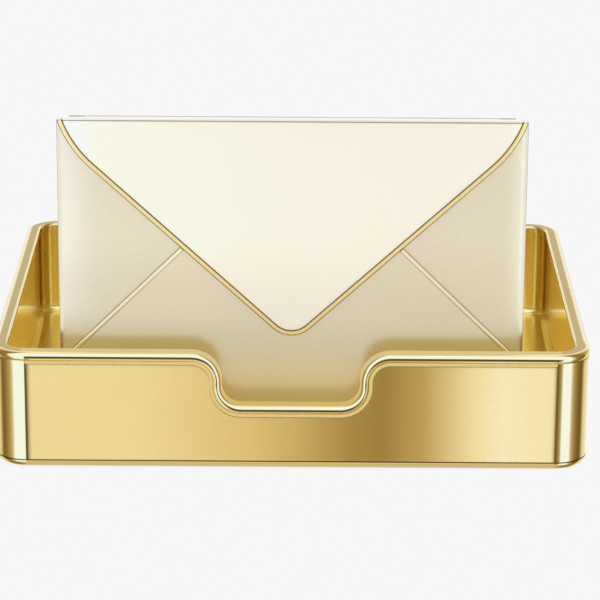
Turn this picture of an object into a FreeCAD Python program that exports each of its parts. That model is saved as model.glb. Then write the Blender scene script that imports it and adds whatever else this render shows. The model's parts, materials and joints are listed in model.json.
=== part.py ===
import FreeCAD, Part
import os
import re
import math
import Sketcher

# Desk tray with a raised notch rail and an envelope-shaped letter pocket that stands behind
# its front wall. Millimetres, +Z up, front towards -Y, origin on the table under the tray's centre.

doc = FreeCAD.newDocument("envelope_sorter")

sizes = {
    # tray seen from outside, over the rail
    "tray_width": 296.0,
    "tray_depth": 230.0,
    "tray_height": 61.7,
    "corner_round": 17.2,
    # finger notch in the front wall
    "notch_width": 98.2,
    "notch_depth": 27.0,
    "notch_shoulder": 15.0,
    "notch_root": 9.5,
    # rail that caps the two walls
    "rail_width": 8.0,
    "rail_drop": 5.9,
    "rail_overhang": 0.5,
    "rail_web": 1.3,
    "bead_round": 2.6,
    "bead_under": 1.8,
    "lip_inset": 0.25,
    "lip_tall": 1.5,
    "inner_round": 1.4,
    "inner_drop": 3.4,
    "tongue_wall": 1.2,
    "tongue_long": 4.0,
    # walls, floor and base
    "shell_wall": 1.5,
    "pan_wall": 1.2,
    "wall_deep": 6.8,
    "floor_level": 11.0,
    "floor_sheet": 1.2,
    "floor_round": 3.0,
    "base_sheet": 1.5,
    "base_tall": 4.8,
    "base_round": 4.6,
    "base_wall": 2.4,
    "shadow_gap": 0.6,
    # rubber feet
    "foot_proud": 1.0,
    "foot_wide": 14.0,
    "foot_inset": 18.5,
    "foot_bevel": 0.4,
    "peg_wide": 4.8,
    "peg_bulb": 6.4,
    "peg_tip": 2.4,
    "peg_tall": 2.0,
    # screws and posts
    "post_wide": 7.0,
    "post_inset": 22.5,
    "post_row": 38.5,
    "shank_wide": 3.0,
    "shank_long": 6.5,
    "head_wide": 5.6,
    "head_tall": 1.4,
    "key_wide": 2.2,
    "key_deep": 1.0,
    "channel_post_tall": 6.0,
    "channel_shank": 6.5,
    "channel_screw_gap": 120.0,
    # channel that the envelope stands in
    "channel_long": 190.0,
    "channel_wall": 1.2,
    "channel_web": 1.5,
    "channel_tall": 9.0,
    "channel_lip": 0.5,
    "pad_sheet": 1.2,
    # envelope
    "envelope_gap": 6.8,
    "envelope_width": 229.0,
    "envelope_height": 162.0,
    "panel_sheet": 0.8,
    "pocket_deep": 4.7,
    "front_lip": 5.0,
    "back_lip": 3.0,
    "seam_rise": 39.7,
    "seam_apex": 149.2,
    "seam_lap": 6.0,
    "seam_bead_wide": 2.2,
    "seam_bead_tall": 1.6,
    "bottom_flap_tall": 104.0,
    "mouth_cover": 12.0,
    # flap over the mouth
    "flap_sheet": 1.0,
    "flap_deep": 112.4,
    "fold_round": 0.6,
    "fold_corner": 3.0,
    "crease_tall": 0.4,
    "crease_deep": 0.3,
    "corner_drop": 23.3,
    "corner_inset": 17.1,
    "corner_sweep": 56.9,
    "tip_round": 12.0,
    "flap_bead_wide": 3.0,
    "flap_bead_tall": 2.0,
    # hinge along the top of the back
    "barrel_wide": 4.2,
    "pin_wide": 1.6,
    "knuckle_long": 7.7,
    # clearances
    "press_gap": 0.1,
    "loose_gap": 0.3,
    "swing_gap": 0.4,
    "overrun": 2.0,
}

sheet = doc.addObject("Spreadsheet::Sheet", "Sizes")
for row, (word, size) in enumerate(sizes.items(), start=1):
    sheet.set(f"A{row}", word)
    sheet.set(f"B{row}", str(size))
    sheet.setAlias(f"B{row}", word)
doc.recompute()


def formula(text):
    """Write the sheet's name before each size in a sum."""
    return re.sub(r"[a-z_]+", lambda found: prefixed(found.group()), text)


def prefixed(word):
    return "Sizes." + word if word in sizes else word


def measure(text):
    """Work a sum of sizes out to a plain number."""
    result = sheet.evalExpression(formula(text))
    return float(getattr(result, "Value", result))


# Places that several pieces share, as sums of the sizes above
half_width = "(tray_width / 2)"
half_depth = "(tray_depth / 2)"
shell_inset = "rail_overhang"
pan_inset = "(rail_overhang + wall_deep - pan_wall)"
bay_inset = "(rail_overhang + wall_deep)"
base_top = "(foot_proud + base_tall)"
shell_top = "(tray_height - rail_drop)"
pan_top = "(tray_height - rail_web)"
floor_under = "(floor_level - floor_sheet)"
base_inside = "(foot_proud + base_sheet)"
notch_half = "(notch_width / 2)"
notch_steep = "(notch_width / 2 - notch_shoulder)"
notch_flat = "(notch_width / 2 - notch_shoulder - notch_root)"

flap_front = f"(rail_width + envelope_gap - {half_depth})"
flap_back = f"({flap_front} + flap_sheet)"
bottom_front = f"({flap_back} + loose_gap)"
side_front = f"({bottom_front} + panel_sheet)"
envelope_back = f"({side_front} + 2 * panel_sheet + pocket_deep)"
back_front = f"({envelope_back} - panel_sheet)"
side_round = "((2 * panel_sheet + pocket_deep) / 2)"
bottom_round = f"(({envelope_back} - {bottom_front}) / 2)"
half_envelope = "(envelope_width / 2)"
bend_start = f"({half_envelope} - {side_round})"
envelope_foot = "(floor_level + channel_web + pad_sheet + loose_gap)"
envelope_top = f"({envelope_foot} + envelope_height)"
bend_top = f"({envelope_top} - fold_round)"
fold_under = f"({envelope_top} - flap_sheet)"
side_top = f"({fold_under} - swing_gap)"
hinge_y = f"({envelope_back} - barrel_wide / 2)"
hinge_z = f"({envelope_top} - barrel_wide / 2)"
back_top = f"({hinge_z} - barrel_wide / 2 - swing_gap)"
back_half = f"({bend_start} - back_lip - press_gap)"
barrel_half = f"({back_half} - knuckle_long - loose_gap)"
low_edge = f"({envelope_foot} + {bottom_round})"
lip_edge = f"({low_edge} + back_lip)"

# The flap's V: an apex that the two straight edges would meet in, and their slope
flap_apex = f"({envelope_top} - flap_deep)"
turn_x = f"({half_envelope} - corner_inset)"
turn_z = f"({envelope_top} - corner_drop)"
flap_slope = f"atan((flap_deep - corner_drop) / {turn_x})"
sweep_x = f"({turn_x} - corner_sweep * sin({flap_slope}))"
sweep_z = f"({turn_z} + corner_sweep * cos({flap_slope}))"
shoulder_x = f"({sweep_x} + sqrt(pow(corner_sweep; 2) - pow({sweep_z} - {bend_top}; 2)))"
tip_x = f"(tip_round * sin({flap_slope}))"
tip_z = f"({flap_apex} + tip_round / cos({flap_slope}) - tip_round * cos({flap_slope}))"
tip_low = f"({flap_apex} + tip_round / cos({flap_slope}) - tip_round)"

# The two seams: they meet on the centre line above the bottom flap and fall to the sides
seam_top = f"({envelope_foot} + seam_apex)"
seam_slope = f"atan((seam_apex - seam_rise) / {bend_start})"
cross_x = f"(({seam_top} - {flap_apex}) / (tan({flap_slope}) + tan({seam_slope})))"
cross_z = f"({seam_top} - {cross_x} * tan({seam_slope}))"


def sketch_on(body, role, name, lift="0"):
    """A sketch on one of the body's own planes, lifted along the plane's normal."""
    plane = next(item for item in body.Origin.OriginFeatures if item.Role == role)
    sketch = body.newObject("Sketcher::SketchObject", name)
    sketch.AttachmentSupport = (plane, [""])
    sketch.MapMode = "FlatFace"
    sketch.setExpression("AttachmentOffset.Base.z", formula(lift))
    return sketch


def pin_down(sketch, geo, end, axis, text):
    """Hold one end of an edge at a distance from the sketch's origin."""
    if text == "0":
        line = -2 if axis == "DistanceX" else -1
        sketch.addConstraint(Sketcher.Constraint("PointOnObject", geo, end, line))
        return
    index = sketch.addConstraint(Sketcher.Constraint(axis, -1, 1, geo, end, measure(text)))
    sketch.setExpression(f"Constraints[{index}]", formula(text))


def outline(sketch, start, steps, closed=True):
    """Draw lines, given as (x, y), and arcs, as (x, y, radius, turn): turn 1 is to the left."""
    first = sketch.GeometryCount
    here = start
    ends = []
    for step in steps:
        tail = FreeCAD.Vector(measure(here[0]), measure(here[1]), 0)
        head = FreeCAD.Vector(measure(step[0]), measure(step[1]), 0)
        if len(step) == 2:
            geo = sketch.addGeometry(Part.LineSegment(tail, head), False)
            ends.append((geo, 1, 2, step))
        else:
            geo = sketch.addGeometry(arc_between(tail, head, measure(step[2]), step[3]), False)
            ends.append((geo, 1, 2, step) if step[3] > 0 else (geo, 2, 1, step))
        here = step
    for index, (geo, tail, head, step) in enumerate(ends):
        following = ends[(index + 1) % len(ends)]
        if closed or index + 1 < len(ends):
            sketch.addConstraint(Sketcher.Constraint("Coincident", geo, head, following[0], following[1]))
        pin_down(sketch, geo, head, "DistanceX", step[0])
        pin_down(sketch, geo, head, "DistanceY", step[1])
        if len(step) > 2:
            radius = sketch.addConstraint(Sketcher.Constraint("Radius", geo, measure(step[2])))
            sketch.setExpression(f"Constraints[{radius}]", formula(step[2]))
    if not closed:
        pin_down(sketch, first, ends[0][1], "DistanceX", start[0])
        pin_down(sketch, first, ends[0][1], "DistanceY", start[1])


def arc_between(tail, head, radius, turn):
    """The shorter arc of a radius from tail to head."""
    chord = head - tail
    left = FreeCAD.Vector(-chord.y, chord.x, 0).normalize()
    rise = math.sqrt(max(radius ** 2 - (chord.Length / 2) ** 2, 0))
    centre = (tail + head) / 2 + left * rise * turn
    angles = [math.atan2(point.y - centre.y, point.x - centre.x) for point in (tail, head)]
    if turn < 0:
        angles.reverse()
    circle = Part.Circle(centre, FreeCAD.Vector(0, 0, 1), radius)
    return Part.ArcOfCircle(circle, angles[0], angles[1])


def hole(sketch, x, y, radius):
    """A circle with its centre and radius tied to sizes."""
    centre = FreeCAD.Vector(measure(x), measure(y), 0)
    circle = Part.Circle(centre, FreeCAD.Vector(0, 0, 1), measure(radius))
    geo = sketch.addGeometry(circle, False)
    pin_down(sketch, geo, 3, "DistanceX", x)
    pin_down(sketch, geo, 3, "DistanceY", y)
    index = sketch.addConstraint(Sketcher.Constraint("Radius", geo, measure(radius)))
    sketch.setExpression(f"Constraints[{index}]", formula(radius))


def rounded_frame(sketch, inset, open_front=None):
    """The tray's outline, drawn in by an inset. An open one leaves a gap in the front."""
    x, y = f"({half_width} - {inset})", f"({half_depth} - {inset})"
    radius = f"(corner_round - {inset})"
    near_x, near_y = f"({half_width} - corner_round)", f"({half_depth} - corner_round)"
    steps = [
        (near_x, f"-{y}"),
        (x, f"-{near_y}", radius, 1),
        (x, near_y),
        (near_x, y, radius, 1),
        (f"-{near_x}", y),
        (f"-{x}", near_y, radius, 1),
        (f"-{x}", f"-{near_y}"),
        (f"-{near_x}", f"-{y}", radius, 1),
    ]
    if open_front:
        outline(sketch, (open_front, f"-{y}"), steps + [(f"-{open_front}", f"-{y}")], closed=False)
    else:
        outline(sketch, (f"-{near_x}", f"-{y}"), steps)


def notch_steps(drop):
    """The notch from its left shoulder to its right one, a drop below the rail's top."""
    top = f"(tray_height - {drop})"
    turn = "(tray_height - notch_shoulder)"
    root = "(tray_height - notch_depth + notch_root)"
    low = f"(tray_height - notch_depth - {drop})"
    steep = f"({notch_steep} + {drop})"
    shoulder, bend = f"(notch_shoulder - {drop})", f"(notch_root + {drop})"
    return (f"-{notch_half}", top), [
        (f"-{steep}", turn, shoulder, -1),
        (f"-{steep}", root),
        (f"-{notch_flat}", low, bend, 1),
        (notch_flat, low),
        (steep, root, bend, 1),
        (steep, turn),
        (notch_half, top, shoulder, -1),
    ]


def new_body(label):
    body = doc.addObject("PartDesign::Body", label)
    body.Label = label
    return body


def pad(body, sketch, length, reverse=False, middle=False):
    feature = body.newObject("PartDesign::Pad", sketch.Name + "_pad")
    feature.Profile = sketch
    feature.setExpression("Length", formula(length))
    feature.Reversed = reverse
    feature.Midplane = middle
    doc.recompute()
    return feature


def pocket(body, sketch, length, reverse=False, middle=False):
    """Cut a sketch out of the body, and make sure that material went."""
    before = body.Shape.Volume
    feature = body.newObject("PartDesign::Pocket", sketch.Name + "_cut")
    feature.Profile = sketch
    feature.setExpression("Length", formula(length))
    feature.Reversed = reverse
    feature.Midplane = middle
    doc.recompute()
    if not body.Shape.Volume < before:
        raise RuntimeError(f"{sketch.Name} cut nothing")
    return feature


def pipe(body, section, path):
    feature = body.newObject("PartDesign::AdditivePipe", section.Name + "_pipe")
    doc.recompute()
    feature.Profile = section
    feature.Spine = (path, [f"Edge{number}" for number in range(1, len(path.Shape.Edges) + 1)])
    doc.recompute()
    return feature


def round_level(body, level, inset, radius, name):
    """Round the edges that lie at one height, on the tray's outline drawn in by an inset."""
    height = measure(level)
    reach = measure(half_width) - measure(inset), measure(half_depth) - measure(inset)
    names = [
        f"Edge{number}"
        for number, edge in enumerate(body.Shape.Edges, start=1)
        if lies_on(edge, height, reach)
    ]
    solid = body.Tip
    feature = body.newObject("PartDesign::Fillet", name)
    feature.Base = (solid, names)
    feature.setExpression("Radius", formula(radius))
    doc.recompute()
    return feature


def lies_on(edge, height, reach):
    box = edge.BoundBox
    slack = measure("press_gap / 4")
    flat = abs(box.ZMax - height) < slack and abs(box.ZMin - height) < slack
    side = abs(max(abs(box.XMin), abs(box.XMax)) - reach[0]) < slack
    end = abs(max(abs(box.YMin), abs(box.YMax)) - reach[1]) < slack
    return flat and (side or end)


def solid_of(kind, name, sums, place=("0", "0", "0")):
    """A Part primitive with its sizes and place tied to the sheet."""
    shape = doc.addObject(kind, name)
    for size, text in sums.items():
        shape.setExpression(size, formula(text))
    for axis, text in zip("xyz", place):
        shape.setExpression(f"Placement.Base.{axis}", formula(text))
    return shape


def turned(shape, axis, angle):
    shape.Placement.Rotation = FreeCAD.Rotation(axis, angle)
    return shape


def joined(kind, name, shapes):
    group = doc.addObject(kind, name)
    if kind == "Part::Compound":
        group.Links = shapes
    else:
        group.Shapes = shapes
    group.Label = name
    doc.recompute()
    return group


def cut_from(name, base, tool):
    result = doc.addObject("Part::Cut", name)
    result.Base = base
    result.Tool = tool
    result.Label = name
    doc.recompute()
    return result


def outer_shell():
    body = new_body("outer_shell")
    ring = sketch_on(body, "XY_Plane", "shell_ring", base_top)
    rounded_frame(ring, shell_inset)
    rounded_frame(ring, f"({shell_inset} + shell_wall)")
    pad(body, ring, f"{shell_top} - {base_top}")
    cut_notch(body, "shell_notch", "rail_drop")
    return body


def cut_notch(body, name, drop):
    """Cut the notch through the front wall, from in front of it."""
    sketch = sketch_on(body, "XZ_Plane", name, f"{half_depth} + overrun")
    start, steps = notch_steps(drop)
    above = "(tray_height + overrun)"
    outline(sketch, start, steps + [(notch_half, above), (f"-{notch_half}", above), start])
    pocket(body, sketch, f"{bay_inset} + 2 * overrun")


def rail_section(body, name):
    """The rail cut across: a round bead over a lip outside, a tongue and a lip inside."""
    sketch = sketch_on(body, "YZ_Plane", name, f"-{notch_half}")
    steps = []

    def at(inward, down):
        return f"({inward} - {half_depth})", f"(tray_height - {down})"

    under = "(bead_round - sqrt(pow(bead_round; 2) - pow(bead_under; 2)))"
    tongue_out = f"({shell_inset} + shell_wall + press_gap)"
    tongue_in = f"({tongue_out} + tongue_wall)"
    inner = f"({bay_inset} + press_gap)"
    steps.append(at("lip_inset", "(rail_drop - lip_tall)"))
    steps.append(at(under, "(bead_round + bead_under)"))
    steps.append(at("0", "bead_round") + ("bead_round", -1))
    steps.append(at("bead_round", "0") + ("bead_round", -1))
    steps.append(at("(rail_width - inner_round)", "0"))
    steps.append(at("rail_width", "inner_round") + ("inner_round", -1))
    steps.append(at("rail_width", "inner_drop"))
    steps.append(at(inner, "inner_drop"))
    steps.append(at(inner, "rail_web"))
    steps.append(at(tongue_in, "rail_web"))
    steps.append(at(tongue_in, "(rail_drop + tongue_long)"))
    steps.append(at(tongue_out, "(rail_drop + tongue_long)"))
    steps.append(at(tongue_out, "rail_drop"))
    start = at("lip_inset", "rail_drop")
    steps.append(start)
    outline(sketch, start, steps)
    return sketch


def rim_rail():
    body = new_body("rim_rail")
    around = sketch_on(body, "XY_Plane", "rail_round", "tray_height")
    rounded_frame(around, "0", open_front=notch_half)
    pipe(body, rail_section(body, "rail_round_section"), around)
    dip = sketch_on(body, "XZ_Plane", "rail_dip", half_depth)
    start, steps = notch_steps("0")
    outline(dip, start, steps, closed=False)
    pipe(body, rail_section(body, "rail_dip_section"), dip)
    return body


def inner_pan():
    body = new_body("pan_blank")
    block = sketch_on(body, "XY_Plane", "pan_block", floor_under)
    rounded_frame(block, pan_inset)
    pad(body, block, f"{pan_top} - {floor_under}")
    bay = sketch_on(body, "XY_Plane", "pan_bay", "tray_height")
    rounded_frame(bay, bay_inset)
    pocket(body, bay, "tray_height - floor_level")
    round_level(body, "floor_level", bay_inset, "floor_round", "pan_floor_round")
    round_level(body, floor_under, pan_inset, "floor_round + floor_sheet", "pan_under_round")
    cut_notch(body, "pan_notch", "rail_web")
    drills = [drill(f"pan_drill_{name}", x, y, floor_under, "floor_sheet") for name, x, y in channel_spots()]
    return cut_from("inner_pan", body, joined("Part::MultiFuse", "pan_drills", drills))


def drill(name, x, y, z, deep):
    """A clearance hole for a screw's shank, run past both faces of a sheet."""
    sums = {"Radius": "shank_wide / 2 + press_gap", "Height": f"{deep} + 2 * overrun"}
    return solid_of("Part::Cylinder", name, sums, (x, y, f"{z} - overrun"))


def screw_spots():
    x = f"({half_width} - post_inset)"
    y = f"({half_depth} - post_row)"
    for row, depth in (("front", f"-{y}"), ("back", y)):
        for side, across in (("left", f"-{x}"), ("middle", "0"), ("right", x)):
            yield f"{row}_{side}", across, depth


def channel_spots():
    y = f"(({bottom_front} + {envelope_back}) / 2)"
    for side, across in (("left", "-channel_screw_gap / 2"), ("right", "channel_screw_gap / 2")):
        yield side, across, y


def foot_spots():
    x = f"({half_width} - foot_inset)"
    y = f"({half_depth} - foot_inset)"
    for row, depth in (("front", f"-{y}"), ("back", y)):
        for side, across in (("left", f"-{x}"), ("right", x)):
            yield f"foot_{row}_{side}", across, depth


def countersink(name, x, y, z, down=False):
    """The hole that a flat screw head sinks into, level with the face at z."""
    sums = {
        "Radius1": "head_wide / 2 + press_gap",
        "Radius2": "shank_wide / 2 + press_gap",
        "Height": "head_tall + press_gap",
    }
    cone = solid_of("Part::Cone", name, sums, (x, y, z))
    return turned(cone, FreeCAD.Vector(1, 0, 0), 180) if down else cone


def base_pan():
    body = new_body("base_blank")
    block = sketch_on(body, "XY_Plane", "base_block", "foot_proud")
    rounded_frame(block, shell_inset)
    pad(body, block, "base_tall")
    round_level(body, "foot_proud", shell_inset, "base_round", "base_edge_round")
    line = sketch_on(body, "XY_Plane", "base_shadow_line", base_top)
    rounded_frame(line, f"({shell_inset} - overrun)")
    rounded_frame(line, f"({shell_inset} + shadow_gap)")
    pocket(body, line, "shadow_gap")
    dish = sketch_on(body, "XY_Plane", "base_dish", base_top)
    rounded_frame(dish, f"({shell_inset} + base_wall)")
    pocket(body, dish, "base_tall - base_sheet")
    tools = []
    for name, x, y in screw_spots():
        tools.append(drill(f"base_drill_{name}", x, y, "foot_proud", "base_sheet"))
        tools.append(countersink(f"base_sink_{name}", x, y, "foot_proud"))
    for name, x, y in foot_spots():
        sums = {"Radius": "peg_wide / 2 + press_gap", "Height": "base_sheet + 2 * overrun"}
        tools.append(solid_of("Part::Cylinder", f"{name}_hole", sums, (x, y, "foot_proud - overrun")))
    return cut_from("base_pan", body, joined("Part::MultiFuse", "base_holes", tools))


def posts(label, spots, low, tall):
    """Threaded posts under the pan's floor, one to each screw."""
    made = []
    for name, x, y in spots:
        outside = {"Radius": "post_wide / 2", "Height": tall}
        inside = {"Radius": "shank_wide / 2 + press_gap / 2", "Height": tall}
        post = solid_of("Part::Cylinder", f"{label}_{name}_post", outside, (x, y, low))
        bore = solid_of("Part::Cylinder", f"{label}_{name}_bore", inside, (x, y, low))
        made.append(cut_from(f"{label}_{name}", post, bore))
    return joined("Part::Compound", label, made)


def screws(label, spots, face, shank, down=False):
    """Flat head screws with a hexagon key hole, heads level with a face."""
    made = []
    onward = "-" if down else "+"
    for name, x, y in spots:
        head = solid_of(
            "Part::Cone",
            f"{label}_{name}_head",
            {"Radius1": "head_wide / 2", "Radius2": "shank_wide / 2", "Height": "head_tall"},
            (x, y, face),
        )
        stem = solid_of(
            "Part::Cylinder",
            f"{label}_{name}_stem",
            {"Radius": "shank_wide / 2", "Height": f"{shank} + head_tall / 2"},
            (x, y, f"{face} {onward} head_tall / 2"),
        )
        key = solid_of(
            "Part::Prism",
            f"{label}_{name}_key",
            {"Circumradius": "key_wide / 2", "Height": "key_deep"},
            (x, y, face),
        )
        key.Polygon = 6
        if down:
            for shape in (head, stem, key):
                turned(shape, FreeCAD.Vector(1, 0, 0), 180)
        whole = joined("Part::MultiFuse", f"{label}_{name}_whole", [head, stem])
        made.append(cut_from(f"{label}_{name}", whole, key))
    return joined("Part::Compound", label, made)


def foot(label, x, y):
    """A rubber foot turned about its peg, which snaps through the base."""
    body = new_body(label)
    profile = sketch_on(body, "XZ_Plane", f"{label}_profile")
    above = "(foot_proud + base_sheet + press_gap)"
    outline(profile, ("0", "0"), [
        ("(foot_wide / 2 - foot_bevel)", "0"),
        ("(foot_wide / 2)", "foot_bevel"),
        ("(foot_wide / 2)", "foot_proud"),
        ("(peg_wide / 2)", "foot_proud"),
        ("(peg_wide / 2)", above),
        ("(peg_bulb / 2)", above),
        ("(peg_tip / 2)", f"({above} + peg_tall)"),
        ("0", f"({above} + peg_tall)"),
        ("0", "0"),
    ])
    turn = body.newObject("PartDesign::Revolution", f"{label}_turn")
    turn.Profile = profile
    turn.ReferenceAxis = (profile, ["V_Axis"])
    turn.Angle = 360
    body.setExpression("Placement.Base.x", formula(x))
    body.setExpression("Placement.Base.y", formula(y))
    doc.recompute()
    return body


def envelope_channel():
    body = new_body("channel_blank")
    section = sketch_on(body, "YZ_Plane", "channel_section")
    front = f"({bottom_front} - loose_gap)"
    back = f"({envelope_back} + loose_gap)"
    top = "(floor_level + channel_tall)"
    web = "(floor_level + channel_web)"
    outline(section, (f"({front} - channel_wall)", "floor_level"), [
        (f"({back} + channel_wall)", "floor_level"),
        (f"({back} + channel_wall)", top),
        (f"({back} + channel_lip)", top),
        (back, f"({top} - channel_lip)"),
        (back, web),
        (front, web),
        (front, f"({top} - channel_lip)"),
        (f"({front} - channel_lip)", top),
        (f"({front} - channel_wall)", top),
        (f"({front} - channel_wall)", "floor_level"),
    ])
    pad(body, section, "channel_long", middle=True)
    tools = []
    for name, x, y in channel_spots():
        tools.append(drill(f"channel_drill_{name}", x, y, "floor_level", "channel_web"))
        tools.append(countersink(f"channel_sink_{name}", x, y, web, down=True))
    return cut_from("envelope_channel", body, joined("Part::MultiFuse", "channel_holes", tools))


def channel_pad():
    body = new_body("channel_pad")
    area = sketch_on(body, "XY_Plane", "pad_area", "floor_level + channel_web")
    x = "(channel_long / 2)"
    front, back = f"({bottom_front} - loose_gap)", f"({envelope_back} + loose_gap)"
    outline(area, (f"-{x}", front), [(x, front), (x, back), (f"-{x}", back), (f"-{x}", front)])
    pad(body, area, "pad_sheet")
    return body


def round_top_corner(body, name, side, far_side):
    """Round the envelope's top corner on one side, through all that stands there."""
    sign = "" if side > 0 else "-"
    corner = sketch_on(body, "XZ_Plane", name, f"-{flap_front} + overrun")
    near, far = f"{sign}({half_envelope} - fold_corner)", f"{sign}({half_envelope} + overrun)"
    edge = f"{sign}{half_envelope}"
    low, high = f"({envelope_top} - fold_corner)", f"({envelope_top} + overrun)"
    outline(corner, (edge, low), [
        (near, envelope_top, "fold_corner", side),
        (near, high),
        (far, high),
        (far, low),
        (edge, low),
    ])
    pocket(body, corner, f"{far_side} - {flap_front} + 2 * overrun")


def side_flap(label, side):
    """A side of the envelope: the rounded edge, a lip on the back and the front flap."""
    body = new_body(label)
    sign = "" if side > 0 else "-"

    def at(inward, y):
        return f"{sign}({half_envelope} - {inward})", y

    front, back = side_front, envelope_back
    middle = f"({side_front} + {side_round})"
    inner = f"({side_round} - panel_sheet)"
    section = sketch_on(body, "XY_Plane", f"{label}_section", envelope_foot)
    outline(section, at(f"{side_round} - front_lip", front), [
        at(side_round, front),
        at("0", middle) + (side_round, side),
        at(side_round, back) + (side_round, side),
        at(f"{side_round} - back_lip", back),
        at(f"{side_round} - back_lip", back_front),
        at(side_round, back_front),
        at("panel_sheet", middle) + (inner, -side),
        at(side_round, f"({side_front} + panel_sheet)") + (inner, -side),
        at(f"{side_round} - front_lip", f"({side_front} + panel_sheet)"),
        at(f"{side_round} - front_lip", front),
    ])
    pad(body, section, f"{side_top} - {envelope_foot}")
    lower = sketch_on(body, "XZ_Plane", f"{label}_foot", f"-{side_front} + overrun")
    inside = f"({bend_start} - front_lip - overrun)"
    cut_low, cut_top = f"({envelope_foot} - overrun)", f"({lip_edge} + press_gap)"
    outline(lower, (f"{sign}{inside}", cut_low), [
        (f"{sign}{bend_start}", cut_low),
        (f"{sign}{bend_start}", cut_top),
        (f"{sign}{inside}", cut_top),
        (f"{sign}{inside}", cut_low),
    ])
    pocket(body, lower, f"2 * {side_round} + 2 * overrun")
    plate = sketch_on(body, "XZ_Plane", f"{label}_plate", f"-{side_front}")
    edge = f"({bend_start} - front_lip)"
    lap = f"(seam_lap / cos({seam_slope}))"
    meet_x = (
        f"(({seam_top} - {lap} - {flap_apex} - mouth_cover)"
        f" / (tan({seam_slope}) + tan({flap_slope})))"
    )
    outline(plate, (f"{sign}{edge}", f"({seam_top} - {lap} - {edge} * tan({seam_slope}))"), [
        (f"{sign}{edge}", f"({flap_apex} + mouth_cover + {edge} * tan({flap_slope}))"),
        (f"{sign}{meet_x}", f"({flap_apex} + mouth_cover + {meet_x} * tan({flap_slope}))"),
        (f"{sign}{edge}", f"({seam_top} - {lap} - {edge} * tan({seam_slope}))"),
    ])
    pad(body, plate, "panel_sheet", reverse=True)
    round_top_corner(body, f"{label}_corner", side, envelope_back)
    return body


def bottom_flap():
    body = new_body("bottom_flap")
    section = sketch_on(body, "YZ_Plane", "bottom_section")
    middle = f"({bottom_front} + {bottom_round})"
    inner = f"({bottom_round} - panel_sheet)"
    outline(section, (bottom_front, low_edge), [
        (middle, envelope_foot, bottom_round, 1),
        (envelope_back, low_edge, bottom_round, 1),
        (envelope_back, lip_edge),
        (back_front, lip_edge),
        (back_front, low_edge),
        (middle, f"({envelope_foot} + panel_sheet)", inner, -1),
        (f"({bottom_front} + panel_sheet)", low_edge, inner, -1),
        (bottom_front, low_edge),
    ])
    half = f"({bend_start} - press_gap)"
    pad(body, section, f"2 * {half}", middle=True)
    plate = sketch_on(body, "XZ_Plane", "bottom_plate", f"-{bottom_front}")
    edge = f"(seam_bead_wide / 2 / cos({seam_slope}))"
    side_z = f"({seam_top} - {edge} - {half} * tan({seam_slope}))"
    head_z = f"({envelope_foot} + bottom_flap_tall)"
    head_x = f"(({seam_top} - {edge} - {head_z}) / tan({seam_slope}))"
    outline(plate, (f"-{half}", low_edge), [
        (half, low_edge),
        (half, side_z),
        (head_x, head_z),
        (f"-{head_x}", head_z),
        (f"-{half}", side_z),
        (f"-{half}", low_edge),
    ])
    pad(body, plate, "panel_sheet", reverse=True)
    return body


def back_panel():
    """The flat back, with a knuckle curled up at each end of its top edge."""
    body = new_body("envelope_back")
    sheet_area = sketch_on(body, "XZ_Plane", "back_area", f"-{back_front}")
    low = f"({lip_edge} + press_gap)"
    inner = f"({back_half} - knuckle_long)"
    outline(sheet_area, (f"-{back_half}", low), [
        (back_half, low),
        (back_half, hinge_z),
        (inner, hinge_z),
        (inner, back_top),
        (f"-{inner}", back_top),
        (f"-{inner}", hinge_z),
        (f"-{back_half}", hinge_z),
        (f"-{back_half}", low),
    ])
    pad(body, sheet_area, "panel_sheet", reverse=True)
    for name, start, reverse in (("left", f"-{back_half}", False), ("right", back_half, True)):
        curl = sketch_on(body, "YZ_Plane", f"knuckle_{name}", start)
        hole(curl, hinge_y, hinge_z, "(barrel_wide / 2)")
        pad(body, curl, "knuckle_long", reverse=reverse)
    bore = sketch_on(body, "YZ_Plane", "knuckle_bore")
    hole(bore, hinge_y, hinge_z, "(pin_wide / 2 + press_gap)")
    pocket(body, bore, f"2 * {back_half} + 2 * overrun", middle=True)
    return body


def hinge_pin():
    sums = {"Radius": "pin_wide / 2", "Height": f"2 * {back_half}"}
    pin = solid_of("Part::Cylinder", "hinge_pin", sums, (f"-{back_half}", hinge_y, hinge_z))
    turned(pin, FreeCAD.Vector(0, 1, 0), 90)
    pin.Label = "hinge_pin"
    doc.recompute()
    return pin


def flap_edge_steps():
    """The flap's V from its left shoulder, round the tip, to its right shoulder."""
    return (f"-{shoulder_x}", bend_top), [
        (f"-{turn_x}", turn_z, "corner_sweep", 1),
        (f"-{tip_x}", tip_z),
        (tip_x, tip_z, "tip_round", 1),
        (turn_x, turn_z),
        (shoulder_x, bend_top, "corner_sweep", 1),
    ]


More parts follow.
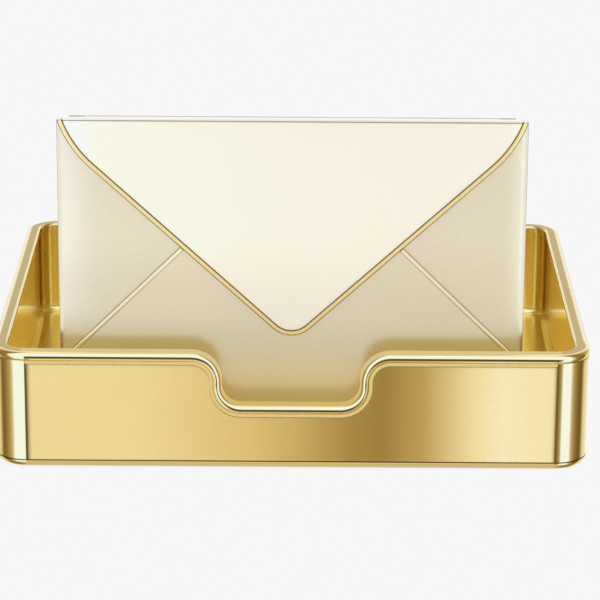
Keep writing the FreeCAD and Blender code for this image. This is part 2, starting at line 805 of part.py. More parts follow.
def top_flap():
    body = new_body("top_flap")
    fold = sketch_on(body, "YZ_Plane", "fold_section")
    bend_end = f"({flap_front} + fold_round)"
    fold_end = f"({hinge_y} - barrel_wide / 2 - swing_gap)"
    outline(fold, (flap_front, bend_top), [
        (bend_end, envelope_top, "fold_round", -1),
        (fold_end, envelope_top),
        (fold_end, fold_under),
        (flap_front, fold_under),
        (flap_front, bend_top),
    ])
    pad(body, fold, "envelope_width", middle=True)
    for name, side in (("left", -1), ("right", 1)):
        round_top_corner(body, f"fold_corner_{name}", side, fold_end)
    bridge = sketch_on(body, "YZ_Plane", "fold_bridge")
    outline(bridge, (fold_end, envelope_top), [
        (fold_end, fold_under),
        (hinge_y, fold_under),
        (hinge_y, envelope_top),
        (fold_end, envelope_top),
    ])
    pad(body, bridge, f"2 * {barrel_half}", middle=True)
    barrel = sketch_on(body, "YZ_Plane", "flap_barrel")
    hole(barrel, hinge_y, hinge_z, "(barrel_wide / 2)")
    pad(body, barrel, f"2 * {barrel_half}", middle=True)
    bore = sketch_on(body, "YZ_Plane", "flap_bore")
    hole(bore, hinge_y, hinge_z, "(pin_wide / 2 + press_gap)")
    pocket(body, bore, "envelope_width", middle=True)
    plate = sketch_on(body, "XZ_Plane", "flap_plate", f"-{flap_front}")
    start, steps = flap_edge_steps()
    outline(plate, start, steps + [start])
    pad(body, plate, "flap_sheet", reverse=True)
    crease = sketch_on(body, "YZ_Plane", "fold_crease")
    crease_back = f"({flap_front} + crease_deep)"
    crease_low = f"({bend_top} - crease_tall)"
    outline(crease, (f"({flap_front} - overrun)", crease_low), [
        (crease_back, crease_low),
        (crease_back, bend_top),
        (f"({flap_front} - overrun)", bend_top),
        (f"({flap_front} - overrun)", crease_low),
    ])
    pocket(body, crease, "envelope_width + 2 * overrun", middle=True)
    return body


def flap_bead(flap):
    """The polished bead along the V, rebated over the plate's edge."""
    body = new_body("flap_bead_blank")
    path = sketch_on(body, "XZ_Plane", "bead_path", f"-{flap_back}")
    outline(path, ("0", tip_low), [
        (tip_x, tip_z, "tip_round", 1),
        (turn_x, turn_z),
        (shoulder_x, bend_top, "corner_sweep", 1),
    ], closed=False)
    section = sketch_on(body, "YZ_Plane", "bead_section")
    low, high = f"({tip_low} - flap_bead_wide / 2)", f"({tip_low} + flap_bead_wide / 2)"
    crown = f"({flap_back} - flap_bead_tall)"
    shoulder = f"({crown} + flap_bead_wide / 2)"
    outline(section, (flap_back, low), [
        (flap_back, high),
        (shoulder, high),
        (crown, tip_low, "(flap_bead_wide / 2)", 1),
        (shoulder, low, "(flap_bead_wide / 2)", 1),
        (flap_back, low),
    ])
    half_bead = pipe(body, section, path)
    plane = next(item for item in body.Origin.OriginFeatures if item.Role == "YZ_Plane")
    mirror = body.newObject("PartDesign::Mirrored", "bead_mirror")
    mirror.Originals = [half_bead]
    mirror.MirrorPlane = (plane, [""])
    body.Tip = mirror
    doc.recompute()
    return cut_from("flap_bead", body, flap)


def seam_bead(label, side):
    """A straight bead along one seam, from the flap's edge down to the side."""
    body = new_body(label)
    section = sketch_on(body, "XY_Plane", f"{label}_section")
    half = "(seam_bead_wide / 2)"
    shoulder = f"({half} - seam_bead_tall)"
    outline(section, (half, "0"), [
        (f"-{half}", "0"),
        (f"-{half}", shoulder),
        ("0", "-seam_bead_tall", half, 1),
        (half, shoulder, half, 1),
        (half, "0"),
    ])
    free = f"((flap_bead_wide / 2 + loose_gap) / sin({flap_slope} + {seam_slope}))"
    long = f"(({bend_start} - seam_bead_wide - {cross_x}) / cos({seam_slope}) - {free})"
    pad(body, section, long)
    sign = "" if side > 0 else "-"
    places = {
        "x": f"{sign}({cross_x} + {free} * cos({seam_slope}))",
        "y": side_front,
        "z": f"{cross_z} - {free} * sin({seam_slope})",
    }
    for axis, text in places.items():
        body.setExpression(f"Placement.Base.{axis}", formula(text))
    body.Placement.Rotation = FreeCAD.Rotation(FreeCAD.Vector(0, side, 0), 90 + measure(seam_slope))
    doc.recompute()
    return body


flap = top_flap()
nodes = [
    outer_shell(),
    rim_rail(),
    inner_pan(),
    base_pan(),
    posts("base_posts", screw_spots(), base_inside, f"{floor_under} - {base_inside}"),
    screws("base_screws", screw_spots(), "foot_proud", "shank_long"),
    *[foot(label, x, y) for label, x, y in foot_spots()],
    envelope_channel(),
    posts("channel_posts", channel_spots(), f"{floor_under} - channel_post_tall", "channel_post_tall"),
    screws("channel_screws", channel_spots(), "floor_level + channel_web", "channel_shank", down=True),
    channel_pad(),
    back_panel(),
    side_flap("side_flap_left", -1),
    side_flap("side_flap_right", 1),
    bottom_flap(),
    seam_bead("seam_bead_left", -1),
    seam_bead("seam_bead_right", 1),
    hinge_pin(),
    flap,
    flap_bead(flap),
]
doc.recompute()

for item in doc.Objects:
    if "Invalid" in item.State or "Error" in item.State:
        raise RuntimeError(f"{item.Label} failed: {item.State}")
for node in nodes:
    if node.Shape.isNull() or not node.Shape.isValid():
        raise RuntimeError(f"{node.Label} has no sound shape")

os.makedirs("parts", exist_ok=True)
for node in nodes:
    node.Shape.exportStep(f"parts/{node.Label}.step")
    box = node.Shape.BoundBox
    print(node.Label, len(node.Shape.Solids), "solid, low", round(box.ZMin, 2), "high", round(box.ZMax, 2))
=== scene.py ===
import bpy
import bmesh
import json
from math import radians
from mathutils import Matrix, Vector


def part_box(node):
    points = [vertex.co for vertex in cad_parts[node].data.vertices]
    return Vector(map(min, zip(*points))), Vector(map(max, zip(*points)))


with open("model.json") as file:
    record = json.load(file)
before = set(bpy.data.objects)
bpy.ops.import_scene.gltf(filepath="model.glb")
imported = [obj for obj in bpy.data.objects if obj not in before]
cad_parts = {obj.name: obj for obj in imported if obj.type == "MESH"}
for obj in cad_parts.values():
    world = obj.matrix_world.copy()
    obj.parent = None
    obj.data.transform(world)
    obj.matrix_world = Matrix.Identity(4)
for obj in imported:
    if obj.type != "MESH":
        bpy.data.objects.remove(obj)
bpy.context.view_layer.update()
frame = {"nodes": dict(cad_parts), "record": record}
cadNodes = frame["nodes"]
print("frame loaded:", len(cadNodes), "pieces")

mm = 0.001
scene = bpy.context.scene

# The tray's own lines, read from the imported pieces
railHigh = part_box("rim_rail")[1]
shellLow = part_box("outer_shell")[0]
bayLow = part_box("inner_pan")[0]

# Plain colours, with the brightest tone a little under white
view = {"transform": "Standard", "look": "None", "topTone": 0.93}


def setView():
    settings = scene.view_settings
    settings.view_transform = view["transform"]
    settings.look = view["look"]
    settings.use_curve_mapping = True
    curve = settings.curve_mapping
    curve.extend = "HORIZONTAL"
    start, end = curve.curves[3].points  # the fourth curve acts on all three colours
    start.handle_type = end.handle_type = "VECTOR"
    end.location = (1.0, view["topTone"])
    curve.update()


def addNode(tree, kind, place, **values):
    # Each value is a property of the node, or else one of its inputs
    node = tree.nodes.new(kind)
    node.location = place
    for name, value in values.items():
        if hasattr(node, name):
            setattr(node, name, value)
        else:
            node.inputs[name.replace("_", " ")].default_value = value
    return node


def reckon(tree, operation, first, second=None):
    # Sums on numbers or on other nodes' outputs
    node = addNode(tree, "ShaderNodeMath", (-700, 0), operation=operation)
    for socket, value in zip(node.inputs, (first, second)):
        if isinstance(value, (int, float)):
            socket.default_value = value
        elif value is not None:
            tree.links.new(value, socket)
    return node.outputs[0]


def spanOf(tree, source, low, high):
    # 0 to 1 as the source goes from low to high
    node = addNode(tree, "ShaderNodeMapRange", (-600, 0), From_Min=low, From_Max=high)
    tree.links.new(source, node.inputs["Value"])
    return node.outputs["Result"]


def stepAt(tree, source, edge, soft):
    # 0 to 1 over an edge that is soft on both sides of it, and 1 to 0 where soft is negative
    return spanOf(tree, source, edge - soft, edge + soft)


def spread(tree, source, middle, swing):
    # A number that goes with the source, from a share under the middle to a share over it
    node = addNode(tree, "ShaderNodeMapRange", (-500, 0), To_Min=middle * (1 - swing), To_Max=middle * (1 + swing))
    tree.links.new(source, node.inputs["Value"])
    return node.outputs["Result"]


def rampOf(tree, source, stops):
    # Colours along the source, given as (number, (red, green, blue))
    node = addNode(tree, "ShaderNodeValToRGB", (-300, 0))
    band = node.color_ramp
    band.elements.remove(band.elements[-1])
    low, high = stops[0][0], stops[-1][0]
    for number, (at, colour) in enumerate(stops):
        share = (at - low) / (high - low)
        element = band.elements[0] if number == 0 else band.elements.new(share)
        element.position = share
        element.color = (*colour, 1)
    tree.links.new(spanOf(tree, source, low, high), node.inputs["Fac"])
    return node.outputs["Color"]


def blended(tree, share, first, second, kind="MIX"):
    node = addNode(tree, "ShaderNodeMix", (-300, 0), data_type="RGBA", blend_type=kind)
    for name, value in (("Factor_Float", share), ("A_Color", first), ("B_Color", second)):
        socket = next(item for item in node.inputs if item.identifier == name)
        if isinstance(value, tuple):
            socket.default_value = (*value, 1)
        else:
            tree.links.new(value, socket)
    return next(item for item in node.outputs if item.identifier == "Result_Color")


def coordinates(tree, kind="Object"):
    # X, Y and Z of the place on the piece, or of the way into the sky
    where = addNode(tree, "ShaderNodeTexCoord", (-2200, 200))
    split = addNode(tree, "ShaderNodeSeparateXYZ", (-2000, 200))
    tree.links.new(where.outputs[kind], split.inputs["Vector"])
    return split.outputs


def noiseOf(tree, scale, detail):
    where = addNode(tree, "ShaderNodeTexCoord", (-1200, 0))
    noise = addNode(tree, "ShaderNodeTexNoise", (-800, 0), Scale=scale, Detail=detail)
    tree.links.new(where.outputs["Object"], noise.inputs["Vector"])
    return noise.outputs["Fac"]


# Every finish has fine grain and broad soft clouds. Both vary its colour, the clouds its gloss, the grain its relief.
texture = {"grainDetail": 1.5, "cloudScale": 26.0, "cloudDetail": 3.0, "grainShare": 0.7, "cloudShare": 0.3,
           "from": 0.3, "to": 0.7, "relief": 0.05 * mm}

goldColour = (0.86, 0.69, 0.31)
satinGold = {"colour": goldColour, "rough": 0.24, "swing": 0.10, "metal": 1.0, "mottle": 0.045, "grain": 1500.0,
             "bump": 0.12, "polish": 0.08, "flatHalf": 129.8 * mm, "flatDeep": 97.0 * mm, "edge": 0.3 * mm}
polishedGold = {"colour": goldColour, "rough": 0.075, "swing": 0.25, "metal": 1.0, "mottle": 0.03,
                "grain": 900.0, "bump": 0.02}
mirrorGold = {"colour": (0.87, 0.65, 0.18), "rough": 0.16, "swing": 0.25, "metal": 1.0, "mottle": 0.04,
              "grain": 900.0, "bump": 0.03}
champagne = {"colour": (0.77, 0.70, 0.55), "rough": 0.38, "swing": 0.10, "metal": 1.0, "mottle": 0.04,
             "grain": 1300.0, "bump": 0.10}
ivory = {"colour": (0.94, 0.88, 0.73), "rough": 0.42, "swing": 0.25, "metal": 0.8, "mottle": 0.012,
         "grain": 1100.0, "bump": 0.05}
rubber = {"colour": (0.045, 0.040, 0.035), "rough": 0.72, "swing": 0.25, "metal": 0.0, "mottle": 0.25,
          "grain": 1800.0, "bump": 0.35}
steel = {"colour": (0.62, 0.60, 0.57), "rough": 0.28, "swing": 0.25, "metal": 1.0, "mottle": 0.08,
         "grain": 1600.0, "bump": 0.10}


def newMaterial(name, finish):
    material = bpy.data.materials.new(name)
    material.use_nodes = True
    tree = material.node_tree
    shader = tree.nodes["Principled BSDF"]
    shader.inputs["Base Color"].default_value = (*finish["colour"], 1)
    shader.inputs["Metallic"].default_value = finish["metal"]
    shader.inputs["Roughness"].default_value = finish["rough"]
    return material, tree, shader


def mottled(tree, shader, finish):
    grain = noiseOf(tree, finish["grain"], texture["grainDetail"])
    cloud = noiseOf(tree, texture["cloudScale"], texture["cloudDetail"])
    both = reckon(tree, "ADD", reckon(tree, "MULTIPLY", grain, texture["grainShare"]),
                  reckon(tree, "MULTIPLY", cloud, texture["cloudShare"]))
    dark, light = (tuple(part * (1 + sign * finish["mottle"]) for part in finish["colour"]) for sign in (-1, 1))
    colour = rampOf(tree, both, [(texture["from"], dark), (texture["to"], light)])
    tree.links.new(colour, shader.inputs["Base Color"])
    return grain, cloud


def raised(tree, shader, source, strength):
    bump = addNode(tree, "ShaderNodeBump", (-300, -300), Strength=strength, Distance=texture["relief"])
    tree.links.new(source, bump.inputs["Height"])
    tree.links.new(bump.outputs["Normal"], shader.inputs["Normal"])


def metalFinish(name, finish):
    material, tree, shader = newMaterial(name, finish)
    grain, cloud = mottled(tree, shader, finish)
    tree.links.new(spread(tree, cloud, finish["rough"], finish["swing"]), shader.inputs["Roughness"])
    raised(tree, shader, grain, finish["bump"])
    return material


def opened(material):
    # What a finish needs to get something more on it
    tree = material.node_tree
    return tree, tree.nodes["Principled BSDF"], coordinates(tree)


def paintShading(tree, shader, share, shadingColour):
    # Paints light or shade into the base colour, taking the shading colour where the share is one
    colour = shader.inputs["Base Color"].links[0].from_socket
    tree.links.new(blended(tree, share, colour, shadingColour), shader.inputs["Base Color"])


def dulled(tree, shader, share, more):
    rough = shader.inputs["Roughness"].links[0].from_socket
    extra = reckon(tree, "MULTIPLY", share, more)
    tree.links.new(reckon(tree, "ADD", rough, extra), shader.inputs["Roughness"])


def rollOf(tree, source, start, end, slope):
    # The drop of a face that begins to roll away at the start and has the slope at the end
    near = spanOf(tree, source, start, end)
    return reckon(tree, "MULTIPLY", reckon(tree, "MULTIPLY", near, near), -0.5 * slope * abs(end - start))


def bentBy(tree, shader, drop):
    # Turns the face by a drop in metres, under the grain
    bend = addNode(tree, "ShaderNodeBump", (-500, -500), Strength=1.0, Distance=1.0)
    grain = shader.inputs["Normal"].links[0].from_node
    tree.links.new(drop, bend.inputs["Height"])
    tree.links.new(bend.outputs["Normal"], grain.inputs["Normal"])


def satinFinish():
    # Satin on the tray's flat walls and a polished band on each corner
    material, tree, shader = newMaterial("satin gold", satinGold)
    grain, cloud = mottled(tree, shader, satinGold)
    place = coordinates(tree)
    across = stepAt(tree, reckon(tree, "ABSOLUTE", place["X"]), satinGold["flatHalf"], satinGold["edge"])
    along = stepAt(tree, reckon(tree, "ABSOLUTE", place["Y"]), satinGold["flatDeep"], satinGold["edge"])
    corner = reckon(tree, "MULTIPLY", across, along)
    flat = reckon(tree, "SUBTRACT", 1.0, corner)
    satin = spread(tree, cloud, satinGold["rough"], satinGold["swing"])
    rough = reckon(tree, "ADD", reckon(tree, "MULTIPLY", satin, flat),
                   reckon(tree, "MULTIPLY", corner, satinGold["polish"]))
    tree.links.new(rough, shader.inputs["Roughness"])
    raised(tree, shader, reckon(tree, "MULTIPLY", grain, flat), satinGold["bump"])
    return material


# The narrow gap round the base's top is painted dark, as shade in the gap
baseGapShade = {"from": 5.15 * mm, "soft": 0.08 * mm, "shadingColour": (0.24, 0.15, 0.04)}


def baseFinish():
    material = metalFinish("base gold", polishedGold)
    tree, shader, place = opened(material)
    # Painted shade: the top of the base, in the gap under the shell, is darkened
    paintShading(tree, shader, stepAt(tree, place["Z"], baseGapShade["from"], baseGapShade["soft"]), baseGapShade["shadingColour"])
    return material


# The pan's floor is painted brighter than the walls round it, as light falling on it, and is a little duller
panFloorLightAndGloss = {"from": 16.0 * mm, "to": 12.5 * mm, "colour": (1.0, 0.83, 0.32), "rough": 0.11}


def panFinish():
    material = metalFinish("pan gold", mirrorGold)
    tree, shader, place = opened(material)
    # Painted light: the floor is brightened, from the foot of the walls down
    share = spanOf(tree, place["Z"], panFloorLightAndGloss["from"], panFloorLightAndGloss["to"])
    paintShading(tree, shader, share, panFloorLightAndGloss["colour"])
    dulled(tree, shader, share, panFloorLightAndGloss["rough"])
    return material


# The rail's flat top rolls down to both its edges, along the sides and the back and not in front. Each roll goes from
# a start to an end, measured outwards from the centre line of the corners' curve, and has the slope at its end.
railRoll = {"inner": (12.3 * mm, 9.9 * mm, 0.58), "outer": (13.7 * mm, 16.1 * mm, 0.80), "curve": 17.2 * mm,
            "behind": (-99.0 * mm, -90.0 * mm), "level": (0.15, 0.40)}


def railFinish():
    material = metalFinish("rail gold", polishedGold)
    tree, shader, place = opened(material)
    reach = []
    for axis, end in (("X", railHigh.x), ("Y", railHigh.y)):
        past = reckon(tree, "SUBTRACT", reckon(tree, "ABSOLUTE", place[axis]), end - railRoll["curve"])
        past = reckon(tree, "MAXIMUM", past, 0.0)
        reach.append(reckon(tree, "MULTIPLY", past, past))
    out = reckon(tree, "SQRT", reckon(tree, "ADD", *reach))
    drop = reckon(tree, "ADD", rollOf(tree, out, *railRoll["inner"]), rollOf(tree, out, *railRoll["outer"]))
    # The upright faces stay as they are
    where = addNode(tree, "ShaderNodeNewGeometry", (-2200, -200))
    facing = addNode(tree, "ShaderNodeSeparateXYZ", (-2000, -200))
    tree.links.new(where.outputs["Normal"], facing.inputs["Vector"])
    level = spanOf(tree, facing.outputs["Z"], *railRoll["level"])
    share = reckon(tree, "MULTIPLY", level, spanOf(tree, place["Y"], *railRoll["behind"]))
    bentBy(tree, shader, reckon(tree, "MULTIPLY", share, drop))
    return material


# Painted shade lies in the crease on both sides of a bead, from a little under its crown
flapBead = {"crown": -101.2 * mm, "shadeStart": 0.27 * mm, "soft": 0.12 * mm, "shadingColour": (0.22, 0.155, 0.045),
            "finish": dict(polishedGold, colour=(0.89, 0.73, 0.40), rough=0.12)}
# The seam beads' gold is paler than the rest, which paints part of their highlight
seamBead = {"crown": -99.7 * mm, "shadeStart": 0.45 * mm, "soft": 0.20 * mm, "shadingColour": (0.40, 0.31, 0.15),
            "finish": dict(polishedGold, colour=(0.93, 0.86, 0.66), rough=0.12)}


def beadFinish(name, bead):
    material = metalFinish(name, bead["finish"])
    tree, shader, place = opened(material)
    # Painted shade in the creases beside the bead
    shadeStart = stepAt(tree, place["Y"], bead["crown"] + bead["shadeStart"], bead["soft"])
    paintShading(tree, shader, shadeStart, bead["shadingColour"])
    return material


# Each side panel rolls away to a slope over a stretch up to its outer edge, and its rim is painted darker, as shade
# at its edge
panelRollAndRimShade = {"left": (9.0 * mm, 0.20), "right": (4.6 * mm, 0.16), "edge": 114.5 * mm, "rim": 114.05 * mm,
             "soft": 0.2 * mm, "shadingColour": (0.50, 0.44, 0.33)}


def panelFinish(side):
    material = metalFinish(side + " panel satin", champagne)
    tree, shader, place = opened(material)
    wide, slope = panelRollAndRimShade[side]
    sign = -1 if side == "left" else 1
    start, end = (sign * (panelRollAndRimShade["edge"] - back) for back in (wide, 0))
    bentBy(tree, shader, rollOf(tree, place["X"], start, end, slope))
    # Painted shade along the panel's outer rim
    rim = stepAt(tree, reckon(tree, "ABSOLUTE", place["X"]), panelRollAndRimShade["rim"], panelRollAndRimShade["soft"])
    paintShading(tree, shader, rim, panelRollAndRimShade["shadingColour"])
    return material


# Painted shade: a dark line in the crease under the flap's fold, and a darker band over the fold's back
foldShade = {"crease": (174.70 * mm, 175.45 * mm), "front": -99.2 * mm, "soft": 0.06 * mm, "back": -95.7 * mm,
            "backSoft": 0.25 * mm, "top": 175.6 * mm, "shadingColour": (0.52, 0.49, 0.40)}


def flapFinish():
    material = metalFinish("flap satin", ivory)
    tree, shader, place = opened(material)
    low, high = foldShade["crease"]
    crease = reckon(tree, "MULTIPLY", stepAt(tree, place["Z"], low, foldShade["soft"]),
                    stepAt(tree, place["Z"], high, -foldShade["soft"]))
    front = stepAt(tree, place["Y"], foldShade["front"], -foldShade["soft"])
    # Painted shade in the crease under the fold
    paintShading(tree, shader, reckon(tree, "MULTIPLY", crease, front), foldShade["shadingColour"])
    # Painted shade over the fold's back
    paintShading(tree, shader, stepAt(tree, place["Y"], foldShade["back"], foldShade["backSoft"]), foldShade["shadingColour"])
    return material


def backFinish():
    material = metalFinish("back satin", champagne)
    tree, shader, place = opened(material)
    # Painted shade over the top of the back, behind the fold
    back = stepAt(tree, place["Y"], foldShade["back"], foldShade["backSoft"])
    top = spanOf(tree, place["Z"], foldShade["top"], foldShade["top"] + foldShade["soft"])
    paintShading(tree, shader, reckon(tree, "MULTIPLY", back, top), foldShade["shadingColour"])
    return material


def dressPieces():
    # One finish for each slot, and one of its own for each piece that has something more on it
    finishes = {
        "satin_gold": satinFinish(),
        "polished_gold": metalFinish("polished gold", polishedGold),
        "mirror_gold": metalFinish("mirror gold", mirrorGold),
        "champagne_satin": metalFinish("champagne satin", champagne),
        "ivory_satin": metalFinish("ivory satin", ivory),
        "soft_rubber": metalFinish("soft rubber", rubber),
        "bright_steel": metalFinish("bright steel", steel),
    }
    ownFinishes = {
        "rim_rail": railFinish(),
        "inner_pan": panFinish(),
        "base_pan": baseFinish(),
        "envelope_back": backFinish(),
        "side_flap_left": panelFinish("left"),
        "side_flap_right": panelFinish("right"),
        "seam_bead_left": beadFinish("seam bead gold", seamBead),
        "top_flap": flapFinish(),
        "flap_bead": beadFinish("flap bead gold", flapBead),
    }
    ownFinishes["seam_bead_right"] = ownFinishes["seam_bead_left"]
    for part in frame["record"]["subparts"]:
        node = cadNodes[part["node"]]
        node.data.materials.clear()
        node.data.materials.append(ownFinishes.get(part["node"], finishes[part["material_slot"]]))


# The lens comes from the camera's focal length in pixels, for an image that is 600 pixels wide
camera = {"eye": Vector((4.166, -1523.34, 546.27)) * mm, "tilt": 17.964, "roll": 0.376, "focalPixels": 3045.95,
          "imageWide": 600, "sensor": 36.0, "nearest": 0.05, "furthest": 50.0}


def makeCamera():
    data = bpy.data.cameras.new("camera")
    data.sensor_width = camera["sensor"]
    data.lens = camera["focalPixels"] / camera["imageWide"] * camera["sensor"]
    data.clip_start, data.clip_end = camera["nearest"], camera["furthest"]
    eye = bpy.data.objects.new("camera", data)
    scene.collection.objects.link(eye)
    aim = Matrix.Rotation(radians(90 - camera["tilt"]), 4, "X") @ Matrix.Rotation(radians(camera["roll"]), 4, "Z")
    eye.matrix_world = Matrix.Translation(camera["eye"]) @ aim
    scene.camera = eye


def stagePiece(name, mesh, material):
    mesh.materials.clear()
    mesh.materials.append(material)
    piece = bpy.data.objects.new(name, mesh)
    scene.collection.objects.link(piece)
    return piece


# A pale sheet that glows a little, as a light table does, so that shadows stay faint
studioFloor = {"wide": 9.0, "colour": (0.20, 0.20, 0.20), "metal": 0.0, "rough": 0.9, "glow": 0.88}


def makeFloor():
    material, tree, shader = newMaterial("studio floor", studioFloor)
    shader.inputs["Specular IOR Level"].default_value = 0.0
    shader.inputs["Emission Color"].default_value = (1, 1, 1, 1)
    shader.inputs["Emission Strength"].default_value = studioFloor["glow"]
    mesh = bpy.data.meshes.new("floor")
    shape = bmesh.new()
    bmesh.ops.create_grid(shape, x_segments=1, y_segments=1, size=studioFloor["wide"] / 2)
    shape.to_mesh(mesh)
    shape.free()
    floor = stagePiece("floor", mesh, material)
    floor.visible_glossy = False


def glowMaterial(name, colour=None):
    material = bpy.data.materials.new(name)
    material.use_nodes = True
    tree = material.node_tree
    tree.nodes.clear()
    out = tree.nodes.new("ShaderNodeOutputMaterial")
    glow = tree.nodes.new("ShaderNodeEmission")
    if colour:
        glow.inputs["Color"].default_value = (*colour, 1)
    tree.links.new(glow.outputs["Emission"], out.inputs["Surface"])
    return material, tree, glow


def onlyReflected(card):
    card.visible_camera = False
    card.visible_diffuse = False
    card.visible_shadow = False
    card.visible_transmission = False


# A face goes into a card when it faces the front this squarely and is this near the card's depth.
# Points closer than the merge become one, and the card reaches by the half to each side.
cardCut = {"facing": 0.999, "near": 0.06 * mm, "merge": 0.001 * mm, "half": 131.4 * mm}


def cardFrom(node, name, material, depth, step):
    # A card with the shape of a piece's flat front face at one depth
    mesh = cadNodes[node].data.copy()
    shape = bmesh.new()
    shape.from_mesh(mesh)
    bmesh.ops.remove_doubles(shape, verts=shape.verts, dist=cardCut["merge"])
    spare = [face for face in shape.faces
             if face.normal.y > -cardCut["facing"] or abs(face.calc_center_median().y - depth) > cardCut["near"]]
    bmesh.ops.delete(shape, geom=spare, context="FACES")
    for side in (1, -1):
        everything = shape.verts[:] + shape.edges[:] + shape.faces[:]
        bmesh.ops.bisect_plane(shape, geom=everything, plane_co=(side * cardCut["half"], 0, 0), plane_no=(side, 0, 0),
                               clear_outer=True)
    bmesh.ops.translate(shape, vec=step, verts=shape.verts)
    shape.to_mesh(mesh)
    shape.free()
    onlyReflected(stagePiece(name, mesh, material))


def uprightCard(name, material, card, turn=0, step=(0, 0, 0)):
    # A plain card that faces the front, or a side once it is turned
    mesh = bpy.data.meshes.new(name)
    shape = bmesh.new()
    bmesh.ops.create_grid(shape, x_segments=1, y_segments=1, size=0.5)
    bmesh.ops.rotate(shape, verts=shape.verts, matrix=Matrix.Rotation(radians(90), 3, "X"))
    bmesh.ops.scale(shape, vec=(2 * card["half"], 1, card["high"] - card["low"]), verts=shape.verts)
    bmesh.ops.rotate(shape, verts=shape.verts, matrix=Matrix.Rotation(radians(turn), 3, "Z"))
    middle = Vector((0, card["y"], (card["low"] + card["high"]) / 2))
    bmesh.ops.translate(shape, vec=middle + Vector(step), verts=shape.verts)
    shape.to_mesh(mesh)
    shape.free()
    onlyReflected(stagePiece(name, mesh, material))


# Glowing cards close in front of the front wall, seen only in reflections, one each for its face, the rail's lip and
# the base: a painted reflection, pale, with a brown fall
wallCard = {
    "gap": 3.0 * mm, "faceDrop": 1.50 * mm, "lipProud": 0.25 * mm, "lipDrop": 0.95 * mm,
    "lipGlow": (0.92, 0.90, 0.85), "baseGlow": (0.92, 0.80, 0.70), "baseLow": 0.2 * mm, "baseHigh": 4.1 * mm,
    "across": [
        (-130.2 * mm, (0.20, 0.14, 0.08)), (-128.6 * mm, (1.05, 1.05, 1.02)), (-75.0 * mm, (1.04, 1.02, 0.97)),
        (-20.4 * mm, (0.89, 0.79, 0.59)), (4.2 * mm, (0.70, 0.595, 0.375)), (28.7 * mm, (0.475, 0.365, 0.165)),
        (45.0 * mm, (0.42, 0.31, 0.13)), (65.5 * mm, (0.62, 0.51, 0.29)), (90.1 * mm, (1.07, 1.08, 1.12)),
        (105.0 * mm, (1.14, 1.26, 1.67)), (129.5 * mm, (1.12, 1.18, 1.38)), (131.0 * mm, (0.20, 0.14, 0.08)),
    ],
}


def makeWallCards():
    ahead = shellLow.y
    material, tree, glow = glowMaterial("wall card")
    # The colours across paint the front face's reflection, pale with a brown fall and dark at both ends
    tree.links.new(rampOf(tree, coordinates(tree)["X"], wallCard["across"]), glow.inputs["Color"])
    cardFrom("outer_shell", "face_card", material, ahead, (0, -wallCard["gap"], -wallCard["faceDrop"]))
    cardFrom("rim_rail", "lip_card", glowMaterial("lip card", wallCard["lipGlow"])[0], ahead - wallCard["lipProud"],
             (0, wallCard["lipProud"] - wallCard["gap"], -wallCard["lipDrop"]))
    base = {"half": cardCut["half"], "low": wallCard["baseLow"], "high": wallCard["baseHigh"],
            "y": ahead - wallCard["gap"]}
    uprightCard("base_card", glowMaterial("base card", wallCard["baseGlow"])[0], base)


# One glows in the gap behind the front wall, seen only in reflections, and paints a golden reflection on the
# envelope's foot
gapCard = {"y": -105.6 * mm, "glow": (0.60, 0.455, 0.12), "rise": 2.6 * mm}
# One washes the envelope's front: cooler and paler high up at both ends
frontCard = {
    "y": -107.0 * mm, "half": 133.0 * mm, "low": 30.0 * mm, "high": 250.0 * mm, "sideFrom": (66.0 * mm, 76.0 * mm),
    "upward": [
        (34.0 * mm, (0.82, 0.66, 0.32)), (46.0 * mm, (0.86, 0.76, 0.50)), (60.0 * mm, (0.83, 0.79, 0.63)),
        (72.0 * mm, (0.93, 0.90, 0.77)), (92.0 * mm, (0.99, 0.96, 0.85)), (112.0 * mm, (1.05, 1.04, 0.95)),
        (150.0 * mm, (1.02, 1.02, 0.94)), (180.0 * mm, (1.0, 1.0, 0.92)),
    ],
    "sideways": [
        (-122.0 * mm, (1.28, 1.34, 1.62)), (-108.0 * mm, (1.13, 1.18, 1.36)), (-96.0 * mm, (1.03, 1.04, 1.07)),
        (-60.0 * mm, (1.02, 1.02, 1.02)), (0.0, (0.985, 0.967, 0.965)), (60.0 * mm, (0.97, 0.955, 0.945)),
        (106.0 * mm, (0.98, 0.97, 0.95)), (115.0 * mm, (1.22, 1.27, 1.42)), (122.0 * mm, (1.5, 1.6, 1.9)),
    ],
}
# Slim ones beside and behind the envelope light its side edges and its top
edgeCard = {"x": 122.5 * mm, "y": -97.5 * mm, "half": 9.5 * mm, "low": 64.0 * mm, "high": 182.0 * mm,
            "glow": (1.15, 1.18, 1.25)}
topCard = {"y": -82.0 * mm, "half": 113.0 * mm, "low": 176.3 * mm, "high": 196.0 * mm}


def makeEnvelopeCards():
    cardFrom("inner_pan", "gap_card", glowMaterial("gap card", gapCard["glow"])[0], bayLow.y,
             (0, gapCard["y"] - bayLow.y, gapCard["rise"]))

    material, tree, glow = glowMaterial("front card")
    place = coordinates(tree)
    above = spanOf(tree, place["Z"], *frontCard["sideFrom"])
    upward, sideways = rampOf(tree, place["Z"], frontCard["upward"]), rampOf(tree, place["X"], frontCard["sideways"])
    tree.links.new(blended(tree, above, upward, sideways, "MULTIPLY"), glow.inputs["Color"])
    uprightCard("front_card", material, frontCard)

    material = glowMaterial("edge card", edgeCard["glow"])[0]
    for name, side in (("edge_card_right", 1), ("edge_card_left", -1)):
        uprightCard(name, material, edgeCard, 90, (side * edgeCard["x"], 0, 0))
    uprightCard("top_card", material, topCard)


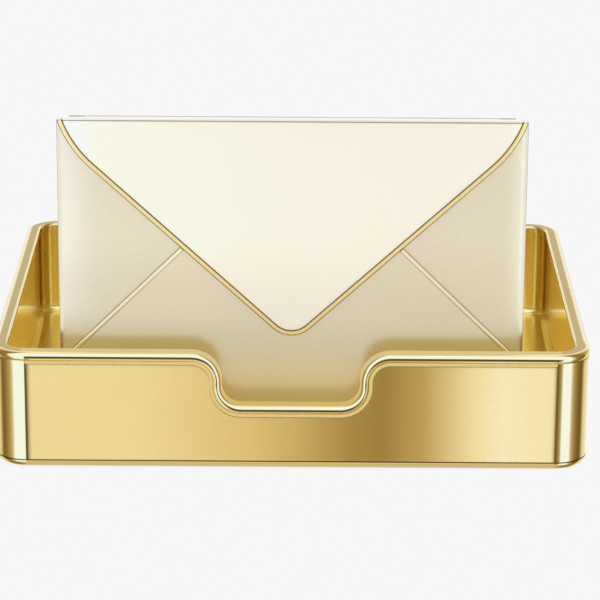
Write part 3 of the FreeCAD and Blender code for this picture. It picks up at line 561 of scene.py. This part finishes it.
# The sky's colours by the turn from the front, with the left negative, and its bands' heights, in degrees
paleWhite, softWhite, rimWhite = (0.92, 0.95, 0.95), (1.16, 1.50, 2.50), (1.12, 1.17, 1.28)
cream, midGrey, lowGrey = (0.82, 0.77, 0.72), (0.66, 0.63, 0.58), (0.80, 0.75, 0.70)
tan, brown, lineBrown, darkBrown = (0.53, 0.45, 0.28), (0.34, 0.26, 0.125), (0.21, 0.155, 0.07), (0.13, 0.10, 0.06)
sky = {
    "level": [
        (-180, rimWhite), (-145, rimWhite), (-120, paleWhite), (-106, paleWhite), (-98, tan), (-89, lineBrown),
        (-75, brown), (-61, tan), (-50, cream), (-43, softWhite), (-13.5, softWhite), (-10, lineBrown),
        (-6, darkBrown), (7, darkBrown), (14, lineBrown), (19, tan), (25, softWhite), (52, softWhite), (58, cream),
        (66, tan), (77, brown), (90, lineBrown), (100, lineBrown), (108, tan), (116, paleWhite), (122, paleWhite),
        (145, rimWhite), (180, rimWhite),
    ],
    "high": [
        (-180, midGrey), (-172, midGrey), (-167, rimWhite), (-150, rimWhite), (-140, midGrey), (-118, tan),
        (-105, brown), (-68, brown), (-52, softWhite), (52, softWhite), (68, brown), (105, brown), (118, tan),
        (140, midGrey), (150, rimWhite), (167, rimWhite), (172, midGrey), (180, midGrey),
    ],
    "low": [
        (-180, lowGrey), (-150, lowGrey), (-125, brown), (-45, brown), (-25, lowGrey), (25, lowGrey), (45, brown),
        (125, brown), (150, lowGrey), (180, lowGrey),
    ],
    "top": (0.95, 0.95, 0.95), "deep": (0.76, 0.72, 0.70),
    "highFrom": (3, 14), "topFrom": (72, 82), "lowFrom": (-47, -60), "deepFrom": (-74, -84),
}


def makeSky():
    world = bpy.data.worlds.new("studio")
    scene.world = world
    world.use_nodes = True
    tree = world.node_tree
    way = coordinates(tree, "Generated")
    turn = reckon(tree, "DEGREES", reckon(tree, "ARCTAN2", way["X"], reckon(tree, "MULTIPLY", way["Y"], -1.0)))
    height = reckon(tree, "DEGREES", reckon(tree, "ARCSINE", way["Z"]))
    level, high, low = (rampOf(tree, turn, sky[band]) for band in ("level", "high", "low"))
    colour = level
    for band, start in ((high, "highFrom"), (sky["top"], "topFrom"), (low, "lowFrom"), (sky["deep"], "deepFrom")):
        colour = blended(tree, spanOf(tree, height, *sky[start]), colour, band)
    tree.links.new(colour, tree.nodes["Background"].inputs["Color"])


setView()
dressPieces()
print("finishes on")
makeCamera()
makeFloor()
print("camera and floor ready")
makeWallCards()
makeEnvelopeCards()
makeSky()
print("studio light ready")
